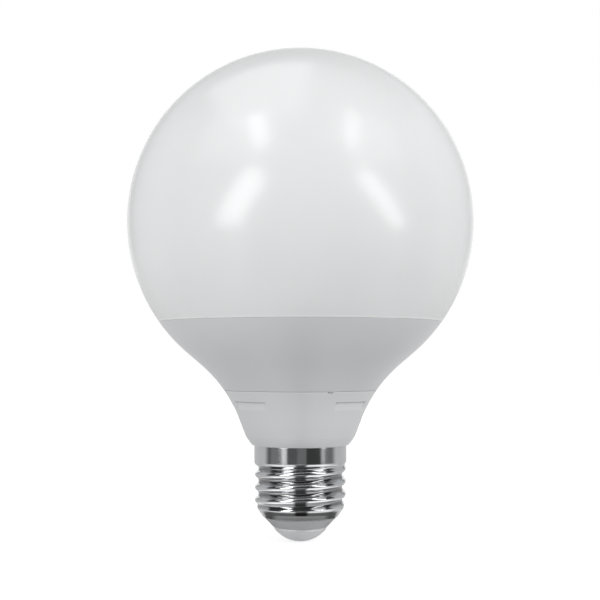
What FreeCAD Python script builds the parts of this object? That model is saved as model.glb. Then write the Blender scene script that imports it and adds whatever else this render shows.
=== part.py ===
import FreeCAD, Part
import math
import os

import Sketcher
from FreeCAD import Placement, Rotation, Vector

# A globe lamp with a 27 mm screw cap, standing cap down. The origin is the tip of the centre
# contact, +Z runs up the lamp's axis through the globe, and -Y is the front.

DRIVING_SIZES = [
    ("contact_flat_radius", "1.2", "flat spot at the tip of the centre contact"),
    ("contact_dome_radius", "9.5", "curvature of the contact's domed face"),
    ("contact_radius", "7.5", "outer edge of the contact"),
    ("contact_height", "4.1", "tip to the face that lies on the insulator"),
    ("contact_stem_radius", "1.5", "stem that is riveted into the insulator"),
    ("contact_stem_length", "4", "length of the stem"),
    ("insulator_height", "3", "contact's seat to the edge of the metal cap"),
    ("insulator_face_radius", "7.8", "face that the contact lies on"),
    ("insulator_plug_height", "3", "part of the insulator inside the metal cap"),
    ("edge_reveal", "0.15", "how far the cap's edge stands proud of the insulator"),
    ("sheet_wall", "0.3", "sheet of the metal cap"),
    ("cap_edge_radius", "10.8", "outer radius of the turned-in edge"),
    ("cap_cone_height", "2.4", "edge to the foot of the thread"),
    ("thread_foot_radius", "12.45", "outer radius where the cone meets the thread"),
    ("thread_crest_radius", "13.1", "outer radius on the crests"),
    ("thread_root_radius", "12.05", "outer radius in the roots"),
    ("thread_pitch", "3.629", "rise in one turn, 7 turns to the inch, right-handed"),
    ("thread_length", "13.4", "foot of the thread to the plain rim"),
    ("thread_runout", "2", "length over which the thread fades at each end"),
    ("thread_first_crest", "9.2", "height of a crest above the cap's edge, at the front"),
    ("cap_rim_radius", "13.3", "outer radius of the plain rim"),
    ("cap_rim_height", "4.6", "height of the plain rim"),
    ("collar_base_radius", "13.9", "lower edge of the collar"),
    ("collar_foot_radius", "15.85", "where the collar's taper starts"),
    ("collar_foot_rise", "2.7", "height of that point above the metal cap"),
    ("collar_foot_rounding", "12.5", "curvature between lower edge and taper"),
    ("collar_height", "15.75", "metal cap to the joint with the housing"),
    ("collar_wall", "2", "wall of the collar"),
    ("collar_plug_length", "9", "part of the collar inside the thread"),
    ("collar_taper", "21.2", "angle of the taper to the lamp's axis, degrees"),
    ("collar_taper_height", "4.8", "height of the straight taper"),
    ("blend_radius", "39.5", "hollow curve between the taper and the housing's cone"),
    ("housing_slope", "50", "angle of the housing's cone to the lamp's axis, degrees"),
    ("housing_bowl_height", "9.4", "part of the housing that goes on with the globe's curve"),
    ("housing_wall", "1.6", "wall of the housing"),
    ("joint_wall", "1.2", "ring of the collar that centres the housing"),
    ("joint_height", "3", "height of that ring"),
    ("spigot_wall", "1.4", "ring of the housing that centres the globe"),
    ("spigot_height", "3", "height of that ring"),
    ("globe_radius", "50", "outer radius of the globe"),
    ("globe_wall", "1.3", "wall of the globe"),
    ("seam_bevel", "0.3", "bevel on the edges that meet at a joint"),
    ("fit_clearance", "0.1", "radial play where one piece goes into another"),
    ("pad_angle", "48.8", "side of a snap pad, measured from front or back, degrees"),
    ("pad_span", "38", "width of a snap pad round the collar, degrees"),
    ("pad_ledge_height", "12.75", "metal cap to the ledge over each pad"),
    ("pad_depth", "0.8", "how far the pad lies back under its ledge"),
    ("pad_tilt", "12", "angle of the pad to the lamp's axis, degrees"),
    ("pad_reach", "5", "length of the pad's cut, past the point where it runs out"),
    ("slit_height", "0.3", "slit between the ledge and the pad"),
    ("slit_depth", "0.35", "depth of the slit behind the pad"),
    ("notch_angle", "22.5", "side of the small notch in the joint, from the front, degrees"),
    ("notch_span", "3.8", "width of the notch round the collar, degrees"),
    ("notch_height", "0.6", "height of the notch"),
    ("notch_depth", "0.9", "depth of the notch"),
]

DERIVED_SIZES = [
    ("contact_dome_rise", "sqrt(pow(contact_dome_radius; 2) - pow(contact_flat_radius; 2))"
        " - sqrt(pow(contact_dome_radius; 2) - pow(contact_radius; 2))"),
    ("contact_stem_top", "contact_height + contact_stem_length"),
    ("stem_bore_radius", "contact_stem_radius + fit_clearance"),
    ("cap_edge_height", "contact_height + insulator_height"),
    ("insulator_edge_radius", "cap_edge_radius - edge_reveal"),
    ("cone_flank", "sqrt(1 + pow((thread_foot_radius - cap_edge_radius) / cap_cone_height; 2))"),
    ("cap_edge_inner_radius", "cap_edge_radius - sheet_wall * cone_flank"),
    ("thread_foot_inner_radius", "thread_foot_radius - sheet_wall"),
    ("insulator_plug_radius", "cap_edge_inner_radius - fit_clearance"),
    ("insulator_plug_top", "cap_edge_height + insulator_plug_height"),
    ("thread_foot_height", "cap_edge_height + cap_cone_height"),
    ("rim_foot_height", "thread_foot_height + thread_length"),
    ("rim_top_height", "rim_foot_height + cap_rim_height"),
    ("rim_inner_radius", "cap_rim_radius - sheet_wall"),
    ("collar_neck_radius", "rim_inner_radius - fit_clearance"),
    ("collar_plug_radius", "thread_root_radius - sheet_wall - fit_clearance"),
    ("collar_bore_radius", "collar_plug_radius - collar_wall"),
    ("collar_plug_foot", "rim_foot_height - collar_plug_length"),
    ("collar_foot_height", "rim_top_height + collar_foot_rise"),
    ("collar_top_height", "rim_top_height + collar_height"),
    ("blend_foot_radius", "collar_foot_radius + collar_taper_height * tan(collar_taper)"),
    ("blend_foot_height", "collar_foot_height + collar_taper_height"),
    ("blend_centre_radius", "blend_foot_radius + blend_radius * cos(collar_taper)"),
    ("blend_centre_height", "blend_foot_height - blend_radius * sin(collar_taper)"),
    ("blend_top_radius", "blend_centre_radius - blend_radius * cos(housing_slope)"),
    ("blend_top_height", "blend_centre_height + blend_radius * sin(housing_slope)"),
    ("cone_top_radius", "globe_radius * cos(housing_slope)"),
    ("cone_top_height", "blend_top_height"
        " + (cone_top_radius - blend_top_radius) / tan(housing_slope)"),
    ("globe_centre_height", "cone_top_height + globe_radius * sin(housing_slope)"),
    ("globe_drop", "globe_radius * sin(housing_slope) - housing_bowl_height"),
    ("seam_height", "globe_centre_height - globe_drop"),
    ("globe_mouth_radius", "sqrt(pow(globe_radius; 2) - pow(globe_drop; 2))"),
    ("globe_top_height", "globe_centre_height + globe_radius"),
    ("globe_inner_radius", "globe_radius - globe_wall"),
    ("globe_top_inner_height", "globe_centre_height + globe_inner_radius"),
    ("globe_mouth_inner_radius", "sqrt(pow(globe_inner_radius; 2) - pow(globe_drop; 2))"),
    ("mouth_bevel_radius", "globe_mouth_radius - seam_bevel"),
    ("globe_edge_height", "seam_height + seam_bevel"),
    ("globe_edge_radius", "sqrt(pow(globe_radius; 2) - pow(globe_drop - seam_bevel; 2))"),
    ("housing_edge_height", "seam_height - seam_bevel"),
    ("housing_edge_radius", "sqrt(pow(globe_radius; 2) - pow(globe_drop + seam_bevel; 2))"),
    ("spigot_radius", "globe_mouth_inner_radius - fit_clearance"),
    ("spigot_inner_radius", "spigot_radius - spigot_wall"),
    ("spigot_top_height", "seam_height + spigot_height"),
    ("dome_inner_radius", "globe_radius - housing_wall"),
    ("spigot_foot_height", "globe_centre_height"
        " - sqrt(pow(dome_inner_radius; 2) - pow(spigot_inner_radius; 2))"),
    ("cone_top_inner_radius", "dome_inner_radius * cos(housing_slope)"),
    ("cone_top_inner_height", "globe_centre_height - dome_inner_radius * sin(housing_slope)"),
    ("housing_foot_radius", "blend_centre_radius"
        " - sqrt(pow(blend_radius; 2) - pow(collar_top_height - blend_centre_height; 2))"),
    ("housing_blend_radius", "blend_radius + housing_wall"),
    ("blend_top_inner_radius", "blend_top_radius - housing_wall * cos(housing_slope)"),
    ("blend_top_inner_height", "blend_top_height + housing_wall * sin(housing_slope)"),
    ("housing_foot_inner_radius", "blend_centre_radius"
        " - sqrt(pow(housing_blend_radius; 2) - pow(collar_top_height - blend_centre_height; 2))"),
    ("collar_top_radius", "housing_foot_radius - seam_bevel"),
    ("collar_edge_height", "collar_top_height - seam_bevel"),
    ("collar_edge_radius", "blend_centre_radius"
        " - sqrt(pow(blend_radius; 2) - pow(collar_edge_height - blend_centre_height; 2))"),
    ("collar_blend_radius", "blend_radius + collar_wall"),
    ("collar_foot_inner_radius", "collar_foot_radius - collar_wall * cos(collar_taper)"),
    ("collar_foot_inner_height", "collar_foot_height + collar_wall * sin(collar_taper)"),
    ("blend_foot_inner_radius", "blend_foot_radius - collar_wall * cos(collar_taper)"),
    ("blend_foot_inner_height", "blend_foot_height + collar_wall * sin(collar_taper)"),
    ("joint_radius", "housing_foot_inner_radius - fit_clearance"),
    ("joint_inner_radius", "joint_radius - joint_wall"),
    ("joint_top_height", "collar_top_height + joint_height"),
    ("joint_foot_height", "blend_centre_height + sqrt(pow(collar_blend_radius; 2)"
        " - pow(blend_centre_radius - joint_inner_radius; 2))"),
    ("ledge_height", "rim_top_height + pad_ledge_height"),
    ("ledge_radius", "blend_centre_radius"
        " - sqrt(pow(blend_radius; 2) - pow(ledge_height - blend_centre_height; 2))"),
    ("slit_foot_height", "ledge_height - slit_height"),
    ("pad_top_radius", "ledge_radius - pad_depth"),
    ("slit_floor_radius", "pad_top_radius - slit_depth"),
    ("pad_foot_height", "slit_foot_height - pad_reach"),
    ("pad_foot_radius", "pad_top_radius - pad_reach * tan(pad_tilt)"),
    ("notch_foot_height", "collar_top_height - notch_height"),
    ("notch_floor_radius", "housing_foot_radius - notch_depth"),
]

doc = FreeCAD.newDocument("globe_bulb")
sheet = doc.addObject("Spreadsheet::Sheet", "sizes")
row = 0
for alias, value, meaning in DRIVING_SIZES:
    row += 1
    sheet.set(f"A{row}", alias)
    sheet.set(f"B{row}", value)
    sheet.set(f"C{row}", meaning)
    sheet.setAlias(f"B{row}", alias)
doc.recompute()
for alias, formula in DERIVED_SIZES:
    row += 1
    sheet.set(f"A{row}", alias)
    sheet.set(f"B{row}", "=" + formula)
    sheet.setAlias(f"B{row}", alias)
doc.recompute()


def size(alias):
    return float(sheet.get(alias))


def arc_between(start, finish, radius, centre_side):
    # centre_side is the side that the centre lies on, as one goes from start to finish
    run = finish - start
    middle = (start + finish) / 2
    left = Vector(-run.y, run.x, 0).normalize()
    reach = math.sqrt(radius**2 - (run.Length / 2) ** 2)
    centre = middle + left * (reach if centre_side == "left" else -reach)
    first, last = (start, finish) if centre_side == "left" else (finish, start)
    from_angle = math.atan2(first.y - centre.y, first.x - centre.x)
    to_angle = math.atan2(last.y - centre.y, last.x - centre.x)
    return Part.ArcOfCircle(Part.Circle(centre, Vector(0, 0, 1), radius), from_angle, to_angle)


def bind(sketch, constraint, alias):
    index = sketch.addConstraint(constraint)
    sketch.setExpression(f"Constraints[{index}]", f"sizes.{alias}")


def half_section(body, name, corners):
    # A closed outline beside the lamp's axis. Each corner is a radius and a height from the sheet,
    # with the radius and the centre's side of an arc where one leads to the next corner.
    sketch = body.newObject("Sketcher::SketchObject", name)
    planes = body.Origin.OriginFeatures
    sketch.AttachmentSupport = [(plane, "") for plane in planes if plane.Role == "XZ_Plane"]
    sketch.MapMode = "FlatFace"
    places = []
    for corner in corners:
        radius = size(corner[0]) if corner[0] != "axis" else 0
        height = size(corner[1]) if corner[1] != "tip" else 0
        places.append(Vector(radius, height, 0))
    ends = []
    for index, corner in enumerate(corners):
        start = places[index]
        finish = places[(index + 1) % len(places)]
        if len(corner) == 2:
            edge = sketch.addGeometry(Part.LineSegment(start, finish))
            ends.append((edge, 1, 2))
        else:
            edge = sketch.addGeometry(arc_between(start, finish, size(corner[2]), corner[3]))
            bind(sketch, Sketcher.Constraint("Radius", edge, size(corner[2])), corner[2])
            ends.append((edge, 1, 2) if corner[3] == "left" else (edge, 2, 1))
    for index, corner in enumerate(corners):
        edge, first, _ = ends[index]
        before, _, last = ends[index - 1]
        sketch.addConstraint(Sketcher.Constraint("Coincident", before, last, edge, first))
        if corner[0] == "axis":
            sketch.addConstraint(Sketcher.Constraint("PointOnObject", edge, first, -2))
        else:
            across = Sketcher.Constraint("DistanceX", -1, 1, edge, first, places[index].x)
            bind(sketch, across, corner[0])
        if corner[1] == "tip":
            sketch.addConstraint(Sketcher.Constraint("PointOnObject", edge, first, -1))
        else:
            up = Sketcher.Constraint("DistanceY", -1, 1, edge, first, places[index].y)
            bind(sketch, up, corner[1])
    return sketch


def turned_body(label, corners):
    body = doc.addObject("PartDesign::Body", label)
    body.Label = label
    sketch = half_section(body, label + "_section", corners)
    turned = body.newObject("PartDesign::Revolution", label + "_turned")
    turned.Profile = sketch
    turned.ReferenceAxis = (sketch, ["V_Axis"])
    turned.Angle = 360
    sketch.Visibility = False
    return body


def turned_cut(body, name, corners, angle, span):
    # A groove that runs only part of the way round, centred at an angle from the front.
    # angle and span are expressions on the sheet, in degrees.
    sketch = half_section(body, name + "_section", corners)
    sketch.AttachmentOffset = Placement(Vector(), Rotation(Vector(0, 1, 0), 0))
    sketch.setExpression(".AttachmentOffset.Rotation.Angle", angle)
    cut = body.newObject("PartDesign::Groove", name)
    cut.Profile = sketch
    cut.ReferenceAxis = (sketch, ["V_Axis"])
    cut.Midplane = True
    cut.setExpression("Angle", span)
    sketch.Visibility = False
    return cut


# The globe: one blown opal wall, a full sphere down to its open edge.
globe = turned_body("globe", [
    ("axis", "globe_top_height", "globe_radius", "right"),
    ("globe_edge_radius", "globe_edge_height"),
    ("mouth_bevel_radius", "seam_height"),
    ("globe_mouth_inner_radius", "seam_height", "globe_inner_radius", "left"),
    ("axis", "globe_top_inner_height"),
])

# The housing: it goes on with the globe's curve, straightens into a cone and turns hollow
# towards the collar. The ring at its top stands inside the globe's mouth.
housing = turned_body("housing", [
    ("mouth_bevel_radius", "seam_height"),
    ("housing_edge_radius", "housing_edge_height", "globe_radius", "right"),
    ("cone_top_radius", "cone_top_height"),
    ("blend_top_radius", "blend_top_height", "blend_radius", "left"),
    ("housing_foot_radius", "collar_top_height"),
    ("housing_foot_inner_radius", "collar_top_height", "housing_blend_radius", "right"),
    ("blend_top_inner_radius", "blend_top_inner_height"),
    ("cone_top_inner_radius", "cone_top_inner_height", "dome_inner_radius", "left"),
    ("spigot_inner_radius", "spigot_foot_height"),
    ("spigot_inner_radius", "spigot_top_height"),
    ("spigot_radius", "spigot_top_height"),
    ("spigot_radius", "seam_height"),
])

# The collar: it ends the hollow curve, tapers down to the metal cap and reaches inside it.
collar = turned_body("collar", [
    ("collar_top_radius", "collar_top_height"),
    ("collar_edge_radius", "collar_edge_height", "blend_radius", "left"),
    ("blend_foot_radius", "blend_foot_height"),
    ("collar_foot_radius", "collar_foot_height", "collar_foot_rounding", "right"),
    ("collar_base_radius", "rim_top_height"),
    ("collar_neck_radius", "rim_top_height"),
    ("collar_neck_radius", "rim_foot_height"),
    ("collar_plug_radius", "rim_foot_height"),
    ("collar_plug_radius", "collar_plug_foot"),
    ("collar_bore_radius", "collar_plug_foot"),
    ("collar_bore_radius", "rim_top_height"),
    ("collar_foot_inner_radius", "collar_foot_inner_height"),
    ("blend_foot_inner_radius", "blend_foot_inner_height", "collar_blend_radius", "right"),
    ("joint_inner_radius", "joint_foot_height"),
    ("joint_inner_radius", "joint_top_height"),
    ("joint_radius", "joint_top_height"),
    ("joint_radius", "collar_top_height"),
])

# Four snap pads: each lies back under a ledge with a slit, and runs out flush further down.
# They stand as two pairs, one either side of the front and one either side of the back.
pad_outline = [
    ("slit_floor_radius", "ledge_height"),
    ("housing_foot_radius", "ledge_height"),
    ("housing_foot_radius", "pad_foot_height"),
    ("pad_foot_radius", "pad_foot_height"),
    ("pad_top_radius", "slit_foot_height"),
    ("slit_floor_radius", "slit_foot_height"),
]
pads = []
for side, angle in (("left", "-90 - sizes.pad_angle"), ("right", "-90 + sizes.pad_angle")):
    pads.append(turned_cut(collar, "pad_" + side, pad_outline, angle, "sizes.pad_span"))
pad_pairs = collar.newObject("PartDesign::PolarPattern", "pad_pairs")
pad_pairs.Originals = pads
pad_pairs.Axis = (pads[0].Profile[0], ["V_Axis"])
pad_pairs.Angle = 360
pad_pairs.Occurrences = 2
collar.Tip = pad_pairs

# A small notch in the joint, open to the front of the collar's upper edge.
turned_cut(collar, "notch", [
    ("notch_floor_radius", "notch_foot_height"),
    ("notch_floor_radius", "collar_edge_height"),
    ("housing_foot_radius", "collar_edge_height"),
    ("housing_foot_radius", "notch_foot_height"),
], "-90 + sizes.notch_angle", "sizes.notch_span")

# The insulator: a moulded disc that closes the metal cap and carries the centre contact.
insulator = turned_body("insulator", [
    ("stem_bore_radius", "contact_height"),
    ("stem_bore_radius", "insulator_plug_top"),
    ("insulator_plug_radius", "insulator_plug_top"),
    ("insulator_plug_radius", "cap_edge_height"),
    ("insulator_edge_radius", "cap_edge_height"),
    ("insulator_face_radius", "contact_height"),
])

# The centre contact: a domed disc, with the stem that holds it.
centre_contact = turned_body("centre_contact", [
    ("axis", "tip"),
    ("contact_flat_radius", "tip", "contact_dome_radius", "left"),
    ("contact_radius", "contact_dome_rise"),
    ("contact_radius", "contact_height"),
    ("contact_stem_radius", "contact_height"),
    ("contact_stem_radius", "contact_stem_top"),
    ("axis", "contact_stem_top"),
])


# The metal cap: one rolled sheet of even thickness, with the plain rim, a right-hand round
# thread and the turned-in cone. The thread's crests and roots are equal arcs.
thread_foot = size("thread_foot_height")
thread_top = size("rim_foot_height")
thread_pitch = size("thread_pitch")
thread_depth = size("thread_crest_radius") - size("thread_root_radius")
thread_rounding = (thread_pitch**2 / 16 + thread_depth**2 / 4) / thread_depth
crest_height = size("cap_edge_height") + size("thread_first_crest")
front_angle = -90
poles_in_turn = 48
poles_in_pitch = 12
rows = round((thread_top - thread_foot) / thread_pitch * poles_in_pitch)
row_rise = (thread_top - thread_foot) / rows
angle_step = 360 / poles_in_turn


def fade(distance):
    # rises smoothly from 0 at the end of the thread to 1 at the end of the runout
    share = min(max((distance - row_rise) / size("thread_runout"), 0), 1)
    return share * share * (3 - 2 * share)


def thread_drop(angle, height):
    # how far the round thread lies below its crests
    turns = (height - crest_height) / thread_pitch - (angle - front_angle) / 360
    from_crest = abs(turns - round(turns)) * thread_pitch
    if from_crest < thread_pitch / 4:
        return thread_rounding - math.sqrt(thread_rounding**2 - from_crest**2)
    from_root = thread_pitch / 2 - from_crest
    return thread_depth - thread_rounding + math.sqrt(thread_rounding**2 - from_root**2)


def outer_point(angle, height):
    from_foot = fade(height - thread_foot)
    from_top = fade(thread_top - height)
    crest = size("thread_crest_radius")
    foot_radius = size("thread_foot_radius") + (crest - size("thread_foot_radius")) * from_foot
    rim_excess = (size("cap_rim_radius") - crest) * (1 - from_top)
    radius = foot_radius + rim_excess - thread_drop(angle, height) * min(from_foot, from_top)
    turn = math.radians(angle)
    return Vector(radius * math.cos(turn), radius * math.sin(turn), height)


def sheet_point(angle, height, depth):
    # a point at a depth under the outer skin, along the skin's own normal
    point = outer_point(angle, height)
    small = 0.01
    along = outer_point(angle + small, height) - outer_point(angle - small, height)
    up = outer_point(angle, height + small) - outer_point(angle, height - small)
    normal = along.cross(up).normalize()
    return point - normal * depth


def thread_skin(depth):
    # Poles that carry a smooth surface through the sheet's points: each point is moved out by a
    # sixth of the bend around it. The rows are closer at both ends, where the surface is clamped.
    heights = [thread_foot, thread_foot + row_rise / 3]
    heights += [thread_foot + row_rise * step for step in range(1, rows)]
    heights += [thread_top - row_rise / 3, thread_top]
    poles = []
    for column in range(poles_in_turn):
        angle = column * angle_step
        line = []
        for height in heights:
            here = sheet_point(angle, height, depth)
            beside = sheet_point(angle + angle_step, height, depth)
            beside += sheet_point(angle - angle_step, height, depth)
            bend = beside - here * 2
            if thread_foot < height < thread_top:
                around = sheet_point(angle, height + row_rise, depth)
                around += sheet_point(angle, height - row_rise, depth)
                bend += around - here * 2
            line.append(here - bend / 6)
        poles.append(line)
    skin = Part.BSplineSurface()
    round_knots = list(range(poles_in_turn + 1))
    high_knots = list(range(rows + 1))
    high_multiplicities = [4] + [1] * (rows - 1) + [4]
    skin.buildFromPolesMultsKnots(
        poles, [1] * len(round_knots), high_multiplicities, round_knots, high_knots, True, False, 3, 3
    )
    return skin.toShape()


def ring_edge(face, height):
    near = 0.001
    return [
        edge
        for edge in face.Edges
        if abs(edge.BoundBox.ZMin - height) < near and abs(edge.BoundBox.ZMax - height) < near
    ][0]


def turned_ring(corners):
    points = [Vector(radius, 0, height) for radius, height in corners]
    section = Part.Face(Part.makePolygon(points + points[:1]))
    return section.revolve(Vector(), Vector(0, 0, 1), 360)


outer_skin = thread_skin(0)
inner_skin = thread_skin(size("sheet_wall"))
thread_faces = [outer_skin, inner_skin.reversed()]
for height in (thread_foot, thread_top):
    rings = [Part.Wire(ring_edge(skin, height)) for skin in (outer_skin, inner_skin)]
    thread_faces.append(Part.Face(rings))
thread_sleeve = Part.Solid(Part.makeShell(thread_faces))
rim_ring = turned_ring([
    (size("cap_rim_radius"), thread_top),
    (size("cap_rim_radius"), size("rim_top_height")),
    (size("rim_inner_radius"), size("rim_top_height")),
    (size("rim_inner_radius"), thread_top),
])
cone_ring = turned_ring([
    (size("cap_edge_radius"), size("cap_edge_height")),
    (size("thread_foot_radius"), thread_foot),
    (size("thread_foot_inner_radius"), thread_foot),
    (size("cap_edge_inner_radius"), size("cap_edge_height")),
])
screw_cap = doc.addObject("Part::Feature", "screw_cap")
screw_cap.Label = "screw_cap"
screw_cap.Shape = rim_ring.multiFuse([thread_sleeve, cone_ring], 0.001)

doc.recompute()
for thing in doc.Objects:
    if "Invalid" in thing.State or "Error" in thing.State:
        raise RuntimeError(f"{thing.Label} failed: {thing.State}")

os.makedirs("parts", exist_ok=True)
for piece in (globe, housing, collar, screw_cap, insulator, centre_contact):
    if piece.Shape.isNull() or not piece.Shape.isValid() or len(piece.Shape.Solids) != 1:
        raise RuntimeError(f"{piece.Label} is not one valid solid")
    print(piece.Label, round(piece.Shape.Volume), "mm3", len(piece.Shape.Faces), "faces")
    piece.Shape.exportStep(f"parts/{piece.Label}.step")
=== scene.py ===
import bmesh
import bpy
import math
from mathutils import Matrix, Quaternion, Vector


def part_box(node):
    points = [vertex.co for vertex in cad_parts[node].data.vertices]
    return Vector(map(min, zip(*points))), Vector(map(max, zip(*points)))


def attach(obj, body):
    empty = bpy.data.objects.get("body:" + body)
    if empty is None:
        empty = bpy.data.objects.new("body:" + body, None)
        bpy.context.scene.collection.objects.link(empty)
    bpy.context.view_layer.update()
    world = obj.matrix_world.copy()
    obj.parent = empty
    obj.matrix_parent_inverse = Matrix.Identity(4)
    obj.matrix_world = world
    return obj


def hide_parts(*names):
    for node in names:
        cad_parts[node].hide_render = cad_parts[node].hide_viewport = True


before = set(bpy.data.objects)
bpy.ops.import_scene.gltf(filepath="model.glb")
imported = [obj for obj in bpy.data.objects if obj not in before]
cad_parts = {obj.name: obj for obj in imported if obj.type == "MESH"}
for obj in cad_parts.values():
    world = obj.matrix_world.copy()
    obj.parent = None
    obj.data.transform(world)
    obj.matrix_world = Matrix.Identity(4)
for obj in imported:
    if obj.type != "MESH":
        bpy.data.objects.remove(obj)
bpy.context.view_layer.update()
mm = 0.001
print("frame loaded")

# heights where the pieces meet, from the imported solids
globeLow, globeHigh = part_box("globe")
seamHeight = globeLow[2]
globeTop = globeHigh[2]
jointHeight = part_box("housing")[0][2]
capEdge, capTop = (corner[2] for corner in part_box("screw_cap"))
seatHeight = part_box("insulator")[0][2]  # the insulator's face, where the contact lies
front = math.radians(-90)  # -Y faces the camera
mergeDistance = 0.002 * mm


def startOutline(radius, height):
    bm = bmesh.new()
    return bm, bm.verts.new((radius, 0, height))


def lineTo(bm, vert, radius, height):
    tip = bmesh.ops.extrude_vert_indiv(bm, verts=[vert])["verts"][0]
    tip.co = (radius, 0, height)
    return tip


def linesTo(bm, vert, places):
    for radius, height in places:
        vert = lineTo(bm, vert, radius, height)
    return vert


def arcTo(bm, vert, centre, angle, steps):
    # turns a point about a centre beside the axis; a positive angle lowers a point outside it
    made = bmesh.ops.spin(
        bm, geom=[vert], cent=(centre[0], 0, centre[1]), axis=(0, 1, 0), angle=angle, steps=steps
    )
    return [item for item in made["geom_last"] if isinstance(item, bmesh.types.BMVert)][0]


def turnOutline(bm, steps):
    bmesh.ops.spin(
        bm, geom=bm.verts[:] + bm.edges[:], cent=(0, 0, 0), axis=(0, 0, 1),
        angle=2 * math.pi, steps=steps, use_merge=True,
    )
    bmesh.ops.remove_doubles(bm, verts=bm.verts, dist=mergeDistance)
    bmesh.ops.recalc_face_normals(bm, faces=bm.faces)


def radiusOf(vert):
    return math.hypot(vert.co.x, vert.co.y)


def angleOf(vert):
    return math.atan2(vert.co.y, vert.co.x)


def moveToRadius(vert, radius):
    stretch = radius / radiusOf(vert)
    vert.co.x *= stretch
    vert.co.y *= stretch


def angleBetween(angle, middle):
    return abs((angle - middle + math.pi) % (2 * math.pi) - math.pi)


def finishPiece(bm, name, material, node, sharpAngle=35):
    mesh = bpy.data.meshes.new(name)
    bm.to_mesh(mesh)
    bm.free()
    mesh.shade_smooth()
    mesh.set_sharp_from_angle(angle=math.radians(sharpAngle))
    piece = bpy.data.objects.new(name, mesh)
    bpy.context.scene.collection.objects.link(piece)
    mesh.materials.append(material)
    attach(piece, "root")
    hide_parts(node)
    return piece


def coordinates(nodes, links, space):
    place = nodes.new("ShaderNodeTexCoord")
    parts = nodes.new("ShaderNodeSeparateXYZ")
    links.new(place.outputs[space], parts.inputs["Vector"])
    return place.outputs[space], parts.outputs


def addNoise(nodes, links, scale, detail, stretch=(1, 1, 1)):
    place = nodes.new("ShaderNodeTexCoord")
    mapping = nodes.new("ShaderNodeMapping")
    mapping.inputs["Scale"].default_value = stretch
    noise = nodes.new("ShaderNodeTexNoise")
    noise.inputs["Scale"].default_value = scale
    noise.inputs["Detail"].default_value = detail
    links.new(place.outputs["Object"], mapping.inputs["Vector"])
    links.new(mapping.outputs["Vector"], noise.inputs["Vector"])
    return noise.outputs["Fac"]


def fillSocket(links, socket, value):
    # a plain value is set on the socket, a colour or number from a node is linked to it
    if isinstance(value, bpy.types.NodeSocket):
        links.new(value, socket)
    else:
        socket.default_value = (*value, 1) if isinstance(value, tuple) else value


def mathFrom(nodes, links, operation, *values):
    node = nodes.new("ShaderNodeMath")
    node.operation = operation
    for socket, value in zip(node.inputs, values):
        fillSocket(links, socket, value)
    return node.outputs["Value"]


def distanceFrom(nodes, links, across, away):
    squares = [mathFrom(nodes, links, "MULTIPLY", part, part) for part in (across, away)]
    return mathFrom(nodes, links, "SQRT", mathFrom(nodes, links, "ADD", *squares))


def rangeFrom(nodes, links, source, low, high):
    ramp = nodes.new("ShaderNodeMapRange")
    ramp.inputs["To Min"].default_value = low
    ramp.inputs["To Max"].default_value = high
    links.new(source, ramp.inputs["Value"])
    return ramp.outputs["Result"]


def fadeFrom(nodes, links, source, start, end, shape="LINEAR"):
    fading = nodes.new("ShaderNodeMapRange")
    fading.interpolation_type = shape
    fading.inputs["From Min"].default_value = start
    fading.inputs["From Max"].default_value = end
    links.new(source, fading.inputs["Value"])
    return fading.outputs["Result"]


def rampFrom(nodes, links, source, stops):
    # each stop is a place from 0 to 1 and a colour, or one number for a grey
    ramp = nodes.new("ShaderNodeValToRGB")
    marks = ramp.color_ramp.elements
    marks[0].position = stops[0][0]
    marks[1].position = stops[-1][0]
    for place, _ in stops[1:-1]:
        marks.new(place)
    for mark, (_, colour) in zip(marks, stops):
        mark.color = (*colour, 1) if isinstance(colour, tuple) else (colour, colour, colour, 1)
    links.new(source, ramp.inputs["Fac"])
    return ramp.outputs["Color"]


def mixColours(nodes, links, factor, first, second):
    mix = nodes.new("ShaderNodeMix")
    mix.data_type = "RGBA"
    links.new(factor, mix.inputs["Factor"])
    fillSocket(links, mix.inputs["A"], first)
    fillSocket(links, mix.inputs["B"], second)
    return mix.outputs["Result"]


def bumpFrom(nodes, links, source, depth, strength):
    bump = nodes.new("ShaderNodeBump")
    bump.inputs["Distance"].default_value = depth
    bump.inputs["Strength"].default_value = strength
    links.new(source, bump.inputs["Height"])
    return bump.outputs["Normal"]


def startMaterial(name):
    material = bpy.data.materials.new(name)
    material.use_nodes = True
    nodes = material.node_tree.nodes
    return material, nodes, material.node_tree.links, nodes["Principled BSDF"]


def makeMaterial(name, finish, shadeOver=None):
    # soft clouds vary the shade and the gloss, and a finer grain stands out as bump
    material, nodes, links, shader = startMaterial(name)
    clouds = addNoise(nodes, links, finish["cloudScale"], finish["cloudDetail"])
    low, high = finish["shades"]
    shade = rampFrom(nodes, links, clouds, ((0, low), (1, high)))
    if shadeOver:
        shade = shadeOver(nodes, links, shade)
    links.new(shade, shader.inputs["Base Color"])
    links.new(rangeFrom(nodes, links, clouds, *finish["roughness"]), shader.inputs["Roughness"])
    stretch = finish.get("grainStretch", (1, 1, 1))
    grain = addNoise(nodes, links, finish["grainScale"], finish["grainDetail"], stretch)
    normal = bumpFrom(nodes, links, grain, finish["grainDepth"], finish["grainStrength"])
    links.new(normal, shader.inputs["Normal"])
    for socket, value in finish["constants"].items():
        shader.inputs[socket].default_value = value
    return material


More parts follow.
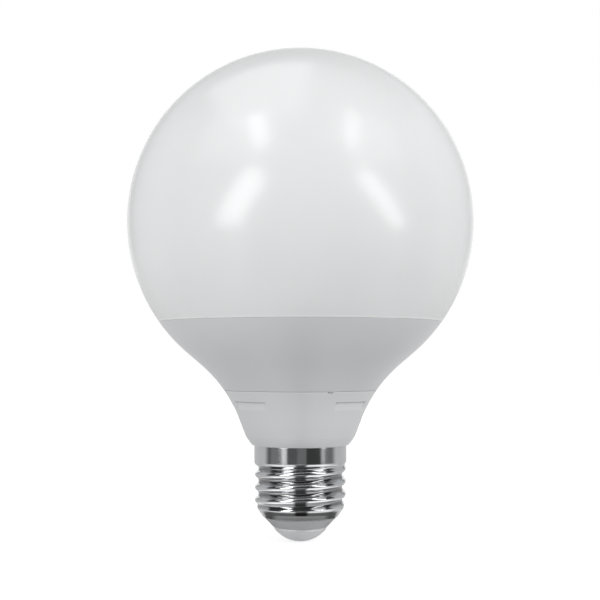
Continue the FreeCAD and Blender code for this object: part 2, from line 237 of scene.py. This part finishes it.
# opal globe
globe = {
    "radius": 49.98 * mm,
    "wall": 1.3 * mm,
    "lipRound": 0.14 * mm,
    "lipMiddle": (0.35, 0.3),  # in and up from the lip's corner, in shares of lipRound
    # a painted highlight along the lip, in this colour and between these heights
    "lipHighlight": (0.95, 0.95, 0.95),
    "lipHighlightEnds": (0.35 * mm, 0.56 * mm),  # above the seam
    "outerSteps": 110,
    "innerSteps": 60,
    "turnSteps": 200,
    "finish": {
        "shades": ((0.84, 0.85, 0.855), (0.86, 0.87, 0.875)),
        "cloudScale": 14,
        "cloudDetail": 2,
        "roughness": (0.2, 0.24),
        "grainScale": 40,
        "grainDetail": 1,
        "grainDepth": 0.02 * mm,
        "grainStrength": 0.3,
        "constants": {
            "Subsurface Weight": 0.3,
            "Subsurface Radius": (1, 1, 1),
            "Subsurface Scale": 2 * mm,
            "IOR": 1.5,
        },
    },
}
globeCentre = (0, globeTop - globe["radius"])


def paintedLipHighlight(nodes, links, shade):
    # painted highlight: a narrow band above the open edge is paler, for light gathering in it
    _, parts = coordinates(nodes, links, "Object")
    start, end = (seamHeight + rise for rise in globe["lipHighlightEnds"])
    above = fadeFrom(nodes, links, parts["Z"], start, end, "SMOOTHSTEP")
    return mixColours(nodes, links, above, globe["lipHighlight"], shade)


def makeGlobe():
    radius, soft = globe["radius"], globe["lipRound"]
    innerRadius = radius - globe["wall"]
    seamDrop = globeCentre[1] - seamHeight
    lipDrop = seamDrop - soft
    lipRadius = math.sqrt(radius**2 - lipDrop**2)
    inwards, upwards = globe["lipMiddle"]
    bm, vert = startOutline(0, globeTop)
    turn = math.pi / 2 + math.asin(lipDrop / radius)
    vert = arcTo(bm, vert, globeCentre, turn, globe["outerSteps"])
    vert = linesTo(bm, vert, [
        (lipRadius - inwards * soft, seamHeight + upwards * soft),
        (lipRadius - soft, seamHeight),
        (math.sqrt(innerRadius**2 - seamDrop**2), seamHeight),
    ])
    turn = math.pi / 2 + math.asin(seamDrop / innerRadius)
    arcTo(bm, vert, globeCentre, -turn, globe["innerSteps"])
    turnOutline(bm, globe["turnSteps"])
    material = makeMaterial("opal plastic", globe["finish"], paintedLipHighlight)
    finishPiece(bm, "opal_globe", material, "globe")


makeGlobe()
print("globe made")

# white housing and collar
plasticFinish = {
    "cloudScale": 30,
    "cloudDetail": 3,
    "roughness": (0.36, 0.44),
    "grainScale": 2600,
    "grainDetail": 2,
    "grainDepth": 0.01 * mm,
    "grainStrength": 0.25,
    "constants": {"Sheen Weight": 0.7, "Sheen Roughness": 0.35},
}
housing = {
    "slope": math.radians(50),  # the cone's angle to the lamp's axis
    "blendRadius": 39.5 * mm,
    "wall": 1.6 * mm,
    # the wall measured level, at the seam and on the cone, and how far the cone's inner end is raised
    "seamWall": 1.92 * mm,
    "coneWall": 2.08 * mm,
    "coneRaise": 0.8 * mm,
    "edgeRound": 0.14 * mm,
    "edgeMiddle": 0.3,  # in and down from the edge's corner, as a share of edgeRound
    "footRound": 0.035 * mm,
    "bowlSteps": 24,
    "curveSteps": 16,
    "turnSteps": 200,
    "finish": {**plasticFinish, "shades": ((0.645, 0.66, 0.67), (0.675, 0.69, 0.70))},
}
collar = {
    "taper": math.radians(21.2),
    "taperHeight": 4.8 * mm,
    "footRadius": 15.85 * mm,
    "footRise": 2.7 * mm,
    "baseRadius": 13.9 * mm,
    "footRounding": 12.5 * mm,
    "footSteps": 8,
    "edgeRound": 0.3 * mm,
    "edgeTop": 1.2,  # how far in the rounding starts, as a share of edgeRound
    "edgeMiddle": (0.5, 0.35),  # in and down from the edge's corner, in shares of edgeRound
    "wall": 2 * mm,
    "neckRadius": 12.9 * mm,
    "neckDepth": 1.5 * mm,
    "turnSteps": 360,
    "sharpAngle": 25,
    "finish": {**plasticFinish, "shades": ((0.705, 0.72, 0.73), (0.735, 0.75, 0.76))},
    "pads": {
        "angle": math.radians(48.8),
        "span": math.radians(38),
        "ledgeHeight": capTop + 12.75 * mm,
        "slitHeight": 0.3 * mm,
        "slitDepth": 0.2 * mm,
        "depth": 0.8 * mm,
        "tilt": math.radians(12),
        "length": 4.2 * mm,
        "rows": 10,
        "rowAbove": 1.2 * mm,
        "rowBelow": 1.5 * mm,
        "edgeWidth": 0.02 * mm,  # two rows this close keep an edge crisp
        "lowest": capTop + 2 * mm,
        "skin": 0.05 * mm,  # only points this close to the outside are moved
        "tolerance": 0.01 * mm,
    },
    "notch": {
        "angle": math.radians(22.5),
        "span": math.radians(3.8),
        "height": 0.6 * mm,
        "edgeWidth": 0.006 * mm,
        "cutHeight": 0.54 * mm,  # leaves the rows at the notch's foot in place
        "depth": 0.9 * mm,
    },
}


def hollowCurve():
    # the curve that touches the collar's taper below and the housing's cone above
    slope, taper, rise = housing["slope"], collar["taper"], collar["taperHeight"]
    foot = Vector((collar["footRadius"], capTop + collar["footRise"]))
    curveFoot = foot + Vector((rise * math.tan(taper), rise))
    centre = curveFoot + Vector((math.cos(taper), -math.sin(taper))) * housing["blendRadius"]
    curveTop = centre - Vector((math.cos(slope), -math.sin(slope))) * housing["blendRadius"]
    return curveTop, curveFoot, centre


curveTop, curveFoot, curveCentre = hollowCurve()


def outsideRadiusAt(height):
    # the collar's outside: the hollow curve, then the straight taper
    if height > curveFoot.y:
        return curveCentre.x - math.sqrt(housing["blendRadius"]**2 - (height - curveCentre.y)**2)
    return curveFoot.x - (curveFoot.y - height) * math.tan(collar["taper"])


def curveAngleAt(height):
    return math.asin((height - curveCentre.y) / housing["blendRadius"])


def makeHousing():
    radius, slope, soft = globe["radius"], housing["slope"], housing["edgeRound"]
    edgeDrop = globeCentre[1] - seamHeight + soft
    edgeRadius = math.sqrt(radius**2 - edgeDrop**2)
    middle = housing["edgeMiddle"] * soft
    innerEdge = (edgeRadius - housing["seamWall"], seamHeight)
    bm, vert = startOutline(*innerEdge)
    vert = linesTo(bm, vert, [
        (edgeRadius - soft, seamHeight),
        (edgeRadius - middle, seamHeight - middle),
        (edgeRadius, seamHeight - soft),
    ])
    turn = slope - math.asin(edgeDrop / radius)
    vert = arcTo(bm, vert, globeCentre, turn, housing["bowlSteps"])
    vert = lineTo(bm, vert, curveTop.x, curveTop.y)
    footHeight = jointHeight + housing["footRound"]
    footRadius = outsideRadiusAt(footHeight)
    turn = curveAngleAt(footHeight) - curveAngleAt(curveTop.y)
    vert = arcTo(bm, vert, curveCentre, turn, housing["curveSteps"])
    coneTop = (radius * math.cos(slope), globeCentre[1] - radius * math.sin(slope))
    linesTo(bm, vert, [
        (footRadius - housing["footRound"], jointHeight),
        (footRadius - housing["wall"], jointHeight),
        (curveTop.x - housing["coneWall"], curveTop.y),
        (coneTop[0] - housing["coneWall"], coneTop[1] + housing["coneRaise"]),
        innerEdge,
    ])
    turnOutline(bm, housing["turnSteps"])
    material = makeMaterial("housing plastic", housing["finish"])
    finishPiece(bm, "white_housing", material, "housing")


def cutPads(bm):
    # rows of the outline move in under each ledge and run out flush further down
    pads = collar["pads"]
    ledge, tolerance = pads["ledgeHeight"], pads["tolerance"]
    slitFoot = ledge - pads["slitHeight"]
    padTop = outsideRadiusAt(ledge) - pads["depth"]
    middles = [front + side * pads["angle"] + half for side in (-1, 1) for half in (0, math.pi)]
    for vert in bm.verts:
        radius, height = radiusOf(vert), vert.co.z
        if height > ledge - tolerance or height < pads["lowest"]:
            continue
        if radius < outsideRadiusAt(height) - pads["skin"]:
            continue
        if min(angleBetween(angleOf(vert), middle) for middle in middles) > pads["span"] / 2:
            continue
        wanted = padTop - (slitFoot - height) * math.tan(pads["tilt"])
        if height > slitFoot + tolerance:
            wanted = padTop - pads["slitDepth"]
        if wanted < radius:
            moveToRadius(vert, wanted)


def cutNotch(bm):
    notch = collar["notch"]
    floorRadius = outsideRadiusAt(jointHeight) - notch["depth"]
    middle = front + notch["angle"]
    for vert in bm.verts:
        onEdge = jointHeight - notch["cutHeight"] < vert.co.z <= jointHeight
        inSpan = angleBetween(angleOf(vert), middle) < notch["span"] / 2
        if onEdge and inSpan and radiusOf(vert) > floorRadius:
            moveToRadius(vert, floorRadius)


def rowHeights():
    # heights of the collar's outer rows, close together where an edge is cut
    pads, notch = collar["pads"], collar["notch"]
    ledge, crisp = pads["ledgeHeight"], pads["edgeWidth"]
    slitFoot = ledge - pads["slitHeight"]
    padStep = pads["length"] / pads["rows"]
    notchFoot = jointHeight - notch["height"]
    heights = [jointHeight - collar["edgeRound"], notchFoot, notchFoot - notch["edgeWidth"]]
    heights += [ledge + pads["rowAbove"], ledge, ledge - crisp, slitFoot + crisp, slitFoot]
    heights += [slitFoot - padStep * (row + 1) for row in range(pads["rows"])]
    heights += [slitFoot - pads["length"] - pads["rowBelow"], capTop + collar["footRise"]]
    return heights


def footCurve():
    # the collar's lower edge rounds in towards the metal cap
    start = Vector((collar["footRadius"], capTop + collar["footRise"]))
    end = Vector((collar["baseRadius"], capTop))
    run = end - start
    rounding = collar["footRounding"]
    inward = Vector((run.y, -run.x)).normalized()
    centre = (start + end) / 2 + inward * math.sqrt(rounding**2 - (run.length / 2)**2)
    places = []
    for step in range(1, collar["footSteps"] + 1):
        away = start.lerp(end, step / collar["footSteps"]) - centre
        place = centre + away.normalized() * rounding
        places.append((place.x, place.y))
    return places


def makeCollar():
    soft, neck = collar["edgeRound"], collar["neckRadius"]
    topRadius = outsideRadiusAt(jointHeight)
    innerTop = (topRadius - collar["wall"], jointHeight)
    neckFoot = capTop - collar["neckDepth"]
    inwards, down = collar["edgeMiddle"]
    bm, vert = startOutline(*innerTop)
    vert = linesTo(bm, vert, [
        (topRadius - collar["edgeTop"] * soft, jointHeight),
        (topRadius - inwards * soft, jointHeight - down * soft),
    ])
    vert = linesTo(bm, vert, [(outsideRadiusAt(height), height) for height in rowHeights()])
    vert = linesTo(bm, vert, footCurve())
    linesTo(bm, vert, [
        (neck, capTop),
        (neck, neckFoot),
        (neck - collar["wall"], neckFoot),
        innerTop,
    ])
    turnOutline(bm, collar["turnSteps"])
    cutPads(bm)
    cutNotch(bm)
    material = makeMaterial("collar plastic", collar["finish"])
    finishPiece(bm, "white_collar", material, "collar", collar["sharpAngle"])


makeHousing()
makeCollar()
print("housing and collar made")

# metal screw cap
screwCap = {
    "sheet": 0.3 * mm,
    "edgeRadius": 10.8 * mm,
    "coneHeight": 2.4 * mm,
    "coneBend": ((0.34 * mm, 0.5 * mm), (0.08 * mm, 0.1 * mm)),  # in and down from the thread's foot
    "footRadius": 12.45 * mm,
    "crestRadius": 13.1 * mm,
    "rootRadius": 12.05 * mm,
    "pitch": 3.629 * mm,
    "runout": 2 * mm,
    "firstCrest": 9.2 * mm,  # above the cap's edge, at the front
    "rimRadius": 13.3 * mm,
    "rimHeight": 4.6 * mm,
    "rimRound": 0.15 * mm,
    "rowHeight": 0.12 * mm,
    "tolerance": 0.001 * mm,
    "turnSteps": 192,
    "sharpAngle": 50,
    # painted shade in the thread's root and on the cone: its colour, and the radii over which it fades
    # out
    "paintedShade": (0.25, 0.25, 0.255),
    "paintedShadeEnds": (12.1 * mm, 12.5 * mm),  # from the lamp's axis
    "finish": {
        "shades": ((0.59, 0.60, 0.61), (0.67, 0.68, 0.69)),
        "cloudScale": 220,
        "cloudDetail": 3,
        "roughness": (0.09, 0.14),
        "grainScale": 60,
        "grainDetail": 4,
        "grainStretch": (1, 1, 30),
        "grainDepth": 0.006 * mm,
        "grainStrength": 0.04,
        "constants": {"Metallic": 1},
    },
}


def paintedShadeRoots(nodes, links, shade):
    # painted shade: the metal at the thread's root and on the cone under it is darker than at its crests
    _, parts = coordinates(nodes, links, "Object")
    radius = distanceFrom(nodes, links, parts["X"], parts["Y"])
    unshaded = fadeFrom(nodes, links, radius, *screwCap["paintedShadeEnds"])
    return mixColours(nodes, links, unshaded, screwCap["paintedShade"], shade)


def threadShare(distance):
    # rises smoothly from 0 at the end of the thread to 1 past its runout
    share = min(max(distance / screwCap["runout"], 0), 1)
    return share * share * (3 - 2 * share)


def threadDrop(angle, height):
    # how far the round thread lies below its crests: equal arcs for crest and root
    pitch = screwCap["pitch"]
    depth = screwCap["crestRadius"] - screwCap["rootRadius"]
    rounding = (pitch**2 / 16 + depth**2 / 4) / depth
    turns = (height - capEdge - screwCap["firstCrest"]) / pitch - (angle - front) / (2 * math.pi)
    fromCrest = abs(turns - round(turns)) * pitch
    if fromCrest < pitch / 4:
        return rounding - math.sqrt(rounding**2 - fromCrest**2)
    fromRoot = pitch / 2 - fromCrest
    return depth - rounding + math.sqrt(rounding**2 - fromRoot**2)


def rollThread(bm, threadFoot, threadTop):
    foot, crest, rim = screwCap["footRadius"], screwCap["crestRadius"], screwCap["rimRadius"]
    for vert in bm.verts:
        height = vert.co.z
        if not threadFoot - screwCap["tolerance"] < height < threadTop - screwCap["tolerance"]:
            continue
        fromFoot = threadShare(height - threadFoot)
        fromTop = threadShare(threadTop - height)
        plainRadius = foot + (crest - foot) * fromFoot + (rim - crest) * (1 - fromTop)
        drop = threadDrop(angleOf(vert), height) * min(fromFoot, fromTop)
        moveToRadius(vert, plainRadius - drop)


def makeScrewCap():
    foot, rim, soft = screwCap["footRadius"], screwCap["rimRadius"], screwCap["rimRound"]
    threadFoot = capEdge + screwCap["coneHeight"]
    threadTop = capTop - screwCap["rimHeight"]
    rows = round((threadTop - threadFoot) / screwCap["rowHeight"])
    step = (threadTop - threadFoot) / rows
    bm, vert = startOutline(screwCap["edgeRadius"], capEdge)
    bend = [(foot - inwards, threadFoot - down) for inwards, down in screwCap["coneBend"]]
    vert = linesTo(bm, vert, bend)
    vert = linesTo(bm, vert, [(foot, threadFoot + step * row) for row in range(rows)])
    rimRows = (threadTop, threadTop + soft, capTop - soft, capTop)
    linesTo(bm, vert, [(rim, height) for height in rimRows])
    turnOutline(bm, screwCap["turnSteps"])
    rollThread(bm, threadFoot, threadTop)
    bmesh.ops.recalc_face_normals(bm, faces=bm.faces)
    material = makeMaterial("nickel plate", screwCap["finish"], paintedShadeRoots)
    piece = finishPiece(
        bm, "threaded_cap", material, "screw_cap", screwCap["sharpAngle"]
    )
    wall = piece.modifiers.new("sheet", "SOLIDIFY")
    wall.thickness = screwCap["sheet"]
    wall.offset = -1


makeScrewCap()
print("screw cap made")

# insulator and centre contact
insulator = {
    "edgeRadius": screwCap["edgeRadius"] - 0.15 * mm,  # the metal edge stands a little proud
    "faceRadius": 7.8 * mm,
    "faceBend": ((-0.15 * mm, 0), (0.06 * mm, 0.12 * mm)),  # out and up from the face's edge
    "plugTop": capEdge + 2 * mm,
    "grooveHeight": 0.25 * mm,
    "grooveDepth": 0.4 * mm,
    "bore": 1.6 * mm,
    "turnSteps": 160,
    "finish": {
        "shades": ((0.61, 0.62, 0.63), (0.67, 0.68, 0.69)),
        "cloudScale": 180,
        "cloudDetail": 3,
        "roughness": (0.42, 0.55),
        "grainScale": 3000,
        "grainDetail": 2,
        "grainDepth": 0.01 * mm,
        "grainStrength": 0.3,
        "constants": {},
    },
}
contact = {
    "flatRadius": 1.2 * mm,
    "domeRadius": 9.5 * mm,
    "radius": 7.5 * mm,
    "edgeRound": 0.12 * mm,
    "edgeBend": ((0.3, 0.4), (0, 1.2)),  # in and up from the dome's end, in shares of edgeRound
    "domeSteps": 28,
    "turnSteps": 160,
    "finish": {
        "shades": ((0.74, 0.75, 0.76), (0.86, 0.87, 0.88)),
        "cloudScale": 260,
        "cloudDetail": 4,
        "roughness": (0.34, 0.5),
        "grainScale": 900,
        "grainDetail": 3,
        "grainDepth": 0.01 * mm,
        "grainStrength": 0.3,
        "constants": {"Metallic": 0.3},
    },
}


def makeInsulator():
    edge, face, bore = (insulator[name] for name in ("edgeRadius", "faceRadius", "bore"))
    grooveTop = capEdge - insulator["grooveHeight"]
    plugRadius = edge - insulator["grooveDepth"]
    bm, vert = startOutline(bore, seatHeight)
    bend = [(face + outwards, seatHeight + up) for outwards, up in insulator["faceBend"]]
    vert = linesTo(bm, vert, bend)
    linesTo(bm, vert, [
        (edge - insulator["grooveHeight"], grooveTop),
        (plugRadius, grooveTop),
        (plugRadius, insulator["plugTop"]),
        (bore, insulator["plugTop"]),
        (bore, seatHeight),
    ])
    turnOutline(bm, insulator["turnSteps"])
    material = makeMaterial("insulator plastic", insulator["finish"])
    finishPiece(bm, "cap_insulator", material, "insulator")


def makeContact():
    dome, edge, soft = (contact[name] for name in ("domeRadius", "radius", "edgeRound"))
    flatAngle = math.asin(contact["flatRadius"] / dome)
    domeAngle = math.asin((edge - soft) / dome)
    domeCentre = (0, dome * math.cos(flatAngle))
    bm, vert = startOutline(0, 0)
    vert = lineTo(bm, vert, contact["flatRadius"], 0)
    vert = arcTo(bm, vert, domeCentre, flatAngle - domeAngle, contact["domeSteps"])
    domeEnd = vert.co.z
    bend = [(edge - inwards * soft, domeEnd + up * soft) for inwards, up in contact["edgeBend"]]
    vert = linesTo(bm, vert, bend)
    linesTo(bm, vert, [(edge, seatHeight), (0, seatHeight)])
    turnOutline(bm, contact["turnSteps"])
    material = makeMaterial("dull contact metal", contact["finish"])
    finishPiece(bm, "contact_button", material, "centre_contact")


makeInsulator()
makeContact()
print("insulator and contact made")

# the photograph's frame is 600 px square; the lamp's axis and the eye level were read off it
cameraSetup = {
    "place": (-0.0001, -0.34, 0.052),
    "tilt": math.radians(2.91),
    "lens": 70.3,
    "sensor": 36,
    "nearest": 0.01,
}
lampSetup = {
    "centre": Vector((0, 0, 0.08)),
    "distance": 0.9,
    # name: degrees right of the camera, degrees up, width, height, roll in degrees, brightness
    "mirrored": {
        "left upper box": (-36, 51, 0.13, 0.38, 29, 4.5),
        "right upper box": (45, 51, 0.11, 0.42, -30, 3.6),
        "left strip": (-38, 8, 0.25, 0.66, -31, 5.5),
        "right strip": (52, 10, 0.17, 0.62, 40, 5.2),
        "left ceiling panel": (-94, 74, 0.9, 0.62, 0, 1),
        "left high panel": (-52, 45, 0.75, 0.42, 0, 0.85),
        "right high panel": (55, 43, 0.6, 0.4, 0, 0.8),
    },
    "soft": {
        "right fill": (85, 3, 0.6, 0.6, 0, 1.1),
        "back fill": (180, 15, 0.7, 0.7, 0, 1.1),
    },
}


def makeCamera():
    data = bpy.data.cameras.new("camera")
    data.sensor_width = cameraSetup["sensor"]
    data.lens = cameraSetup["lens"]
    data.clip_start = cameraSetup["nearest"]
    camera = bpy.data.objects.new("camera", data)
    bpy.context.scene.collection.objects.link(camera)
    camera.location = cameraSetup["place"]
    camera.rotation_euler = (math.pi / 2 + cameraSetup["tilt"], 0, 0)
    bpy.context.scene.camera = camera


def makeLamps():
    # the mirrored lamps are seen in glossy surfaces alone, and the soft ones only light rough ones
    lamps = {**lampSetup["mirrored"], **lampSetup["soft"]}
    for name, (side, up, width, height, roll, brightness) in lamps.items():
        data = bpy.data.lights.new(name, "AREA")
        data.shape = "RECTANGLE"
        data.size = width
        data.size_y = height
        data.energy = brightness * math.pi * width * height
        lamp = bpy.data.objects.new(name, data)
        bpy.context.scene.collection.objects.link(lamp)
        sideways, upwards = math.radians(side), math.radians(up)
        away = Vector((
            math.sin(sideways) * math.cos(upwards),
            -math.cos(sideways) * math.cos(upwards),
            math.sin(upwards),
        ))
        lamp.location = lampSetup["centre"] + away * lampSetup["distance"]
        turned = (-away).to_track_quat("-Z", "Y") @ Quaternion((0, 0, 1), math.radians(roll))
        lamp.rotation_euler = turned.to_euler()
        lamp.visible_diffuse = name in lampSetup["soft"]
        lamp.visible_glossy = name in lampSetup["mirrored"]


roomSetup = {
    "white": (1, 1, 1),
    # light on rough surfaces, brightest from the side that brightSide points to
    "bright": (1.17, 1.17, 1.17),
    "dim": (0.45, 0.45, 0.45),
    "brightSide": (0.17, -0.98, 0.1),
    "blend": 0.5,
    # the room as glossy surfaces mirror it, from the camera's side (0) to straight behind the lamp (1)
    "backdrop": (
        (0.5, 0.05), (0.58, (0.58, 0.59, 0.60)), (0.86, (0.58, 0.59, 0.60)),
        (0.9, 0.38), (0.93, 0.38), (0.955, 1),
    ),
    "ceiling": (0.05, 0.05, 0.05),
    "ceilingEnds": (0.55, 0.8),
}


def makeRoom():
    world = bpy.data.worlds.new("studio")
    bpy.context.scene.world = world
    world.use_nodes = True
    nodes, links = world.node_tree.nodes, world.node_tree.links
    rays = nodes.new("ShaderNodeLightPath").outputs
    direction, parts = coordinates(nodes, links, "Generated")
    behind = fadeFrom(nodes, links, parts["Y"], -1, 1)
    backdrop = rampFrom(nodes, links, behind, roomSetup["backdrop"])
    above = fadeFrom(nodes, links, parts["Z"], *roomSetup["ceilingEnds"], "SMOOTHSTEP")
    mirrored = mixColours(nodes, links, above, backdrop, roomSetup["ceiling"])
    facing = nodes.new("ShaderNodeVectorMath")
    facing.operation = "DOT_PRODUCT"
    facing.inputs[1].default_value = roomSetup["brightSide"]
    links.new(direction, facing.inputs[0])
    blend = roomSetup["blend"]
    towards = fadeFrom(nodes, links, facing.outputs["Value"], -blend, blend, "SMOOTHSTEP")
    fill = mixColours(nodes, links, towards, roomSetup["dim"], roomSetup["bright"])
    lit = mixColours(nodes, links, rays["Is Glossy Ray"], fill, mirrored)
    seen = mathFrom(nodes, links, "MAXIMUM", rays["Is Camera Ray"], rays["Is Transmission Ray"])
    shown = mixColours(nodes, links, seen, lit, roomSetup["white"])
    links.new(shown, nodes["Background"].inputs["Color"])


# distances on the floor are from the lamp's axis; its turns run from the back over the left side (0.25),
# the front (0.5) and the right side (0.75) to the back again, with a brightness at each
floorSetup = {
    "size": 6,
    "shade": (0.46, 0.46, 0.46),
    "roughness": 0.9,
    "lift": 0.74,  # makes the unshaded floor white to the camera
    # what glossy surfaces mirror: a ring of light round the cap, and past it strips and a dark room
    "sheen": 1.6,
    "rings": ((0.009, 0.5), (0.0115, 0.22), (0.017, 0.22), (0.021, 1), (0.03, 1), (0.04, 0.6)),
    "underCap": (0.009, 0.012),
    "nearTurns": (
        (0.26, 0.62), (0.33, 1), (0.455, 1), (0.475, 0.08), (0.535, 0.08), (0.555, 1), (0.67, 1),
        (0.74, 0.62),
    ),
    "nearEnds": (0.05, 0.1),
    "middleTurns": (
        (0.2, 0.7), (0.27, 1), (0.5, 1), (0.54, 0.4), (0.6, 0.4), (0.66, 1), (0.73, 1), (0.8, 0.7),
    ),
    "middleEnds": (0.08, 0.16),
    "farTurns": (
        (0.23, 0.68), (0.27, 0.12), (0.3, 0.24), (0.365, 0.22), (0.378, 0.75), (0.405, 0.7),
        (0.415, 0.1), (0.475, 0.12), (0.485, 0.2), (0.535, 0.2), (0.545, 0.05), (0.635, 0.05),
        (0.648, 0.45), (0.664, 0.45), (0.675, 0.22), (0.73, 0.2), (0.77, 0.68),
    ),
    # light that the floor sends up beyond the lamp's own shade
    "glow": 0.75,
    "glowEnds": (0.06, 0.16),
    "glowTurns": (
        (0.15, 0.5), (0.25, 0.8), (0.36, 0.9), (0.45, 0.6), (0.55, 0.42), (0.6, 0.2), (0.7, 0.2),
        (0.8, 0.8),
    ),
}


def floorPlaces(nodes, links):
    # how far a point of the floor is from the lamp's axis, and its turn round it
    _, parts = coordinates(nodes, links, "Object")
    across, towards = parts["X"], mathFrom(nodes, links, "MULTIPLY", parts["Y"], -1)
    angle = mathFrom(nodes, links, "ARCTAN2", across, towards)
    turn = mathFrom(nodes, links, "MULTIPLY_ADD", angle, 0.5 / math.pi, 0.5)
    return distanceFrom(nodes, links, across, towards), turn


def mirroredFloor(nodes, links, distance, turn):
    reach = floorSetup["rings"][-1][0]
    share = mathFrom(nodes, links, "DIVIDE", distance, reach)
    stops = [(ring / reach, brightness) for ring, brightness in floorSetup["rings"]]
    rings = rampFrom(nodes, links, share, stops)
    zones = ("nearTurns", "middleTurns", "farTurns")
    near, middle, far = (rampFrom(nodes, links, turn, floorSetup[zone]) for zone in zones)
    fading = fadeFrom(nodes, links, distance, *floorSetup["nearEnds"])
    ground = mixColours(nodes, links, fading, near, middle)
    fading = fadeFrom(nodes, links, distance, *floorSetup["middleEnds"])
    ground = mixColours(nodes, links, fading, ground, far)
    fading = fadeFrom(nodes, links, distance, *floorSetup["underCap"])
    ground = mixColours(nodes, links, fading, roomSetup["white"], ground)
    product = nodes.new("ShaderNodeVectorMath")
    product.operation = "MULTIPLY"
    links.new(rings, product.inputs[0])
    links.new(ground, product.inputs[1])
    return product.outputs["Vector"]


def floorStrength(nodes, links, rays, distance, turn):
    # how strongly the floor shines, for rays that light rough surfaces and for the camera's
    glow = fadeFrom(nodes, links, distance, *floorSetup["glowEnds"])
    glow = mathFrom(nodes, links, "MULTIPLY", glow, floorSetup["glow"])
    around = rampFrom(nodes, links, turn, floorSetup["glowTurns"])
    glow = mathFrom(nodes, links, "MULTIPLY", glow, around)
    glow = mathFrom(nodes, links, "MULTIPLY", rays["Is Diffuse Ray"], glow)
    lift = mathFrom(nodes, links, "MULTIPLY", rays["Is Camera Ray"], floorSetup["lift"])
    return mathFrom(nodes, links, "ADD", glow, lift)


def floorMaterial():
    material, nodes, links, shader = startMaterial("pale floor")
    shader.inputs["Base Color"].default_value = (*floorSetup["shade"], 1)
    shader.inputs["Roughness"].default_value = floorSetup["roughness"]
    shader.inputs["Specular IOR Level"].default_value = 0
    shader.inputs["Emission Color"].default_value = (*roomSetup["white"], 1)
    rays = nodes.new("ShaderNodeLightPath").outputs
    distance, turn = floorPlaces(nodes, links)
    strength = floorStrength(nodes, links, rays, distance, turn)
    links.new(strength, shader.inputs["Emission Strength"])
    sheen = nodes.new("ShaderNodeEmission")
    sheen.inputs["Strength"].default_value = floorSetup["sheen"]
    links.new(mirroredFloor(nodes, links, distance, turn), sheen.inputs["Color"])
    mix = nodes.new("ShaderNodeMixShader")
    links.new(rays["Is Glossy Ray"], mix.inputs["Fac"])
    links.new(shader.outputs["BSDF"], mix.inputs[1])
    links.new(sheen.outputs["Emission"], mix.inputs[2])
    links.new(mix.outputs["Shader"], nodes["Material Output"].inputs["Surface"])
    return material


def makeFloor():
    bm = bmesh.new()
    bmesh.ops.create_grid(bm, x_segments=1, y_segments=1, size=floorSetup["size"] / 2)
    mesh = bpy.data.meshes.new("floor")
    bm.to_mesh(mesh)
    bm.free()
    floor = bpy.data.objects.new("floor", mesh)
    bpy.context.scene.collection.objects.link(floor)
    mesh.materials.append(floorMaterial())


makeCamera()
makeLamps()
makeRoom()
makeFloor()
bpy.context.scene.view_settings.view_transform = "Standard"
print("studio made")
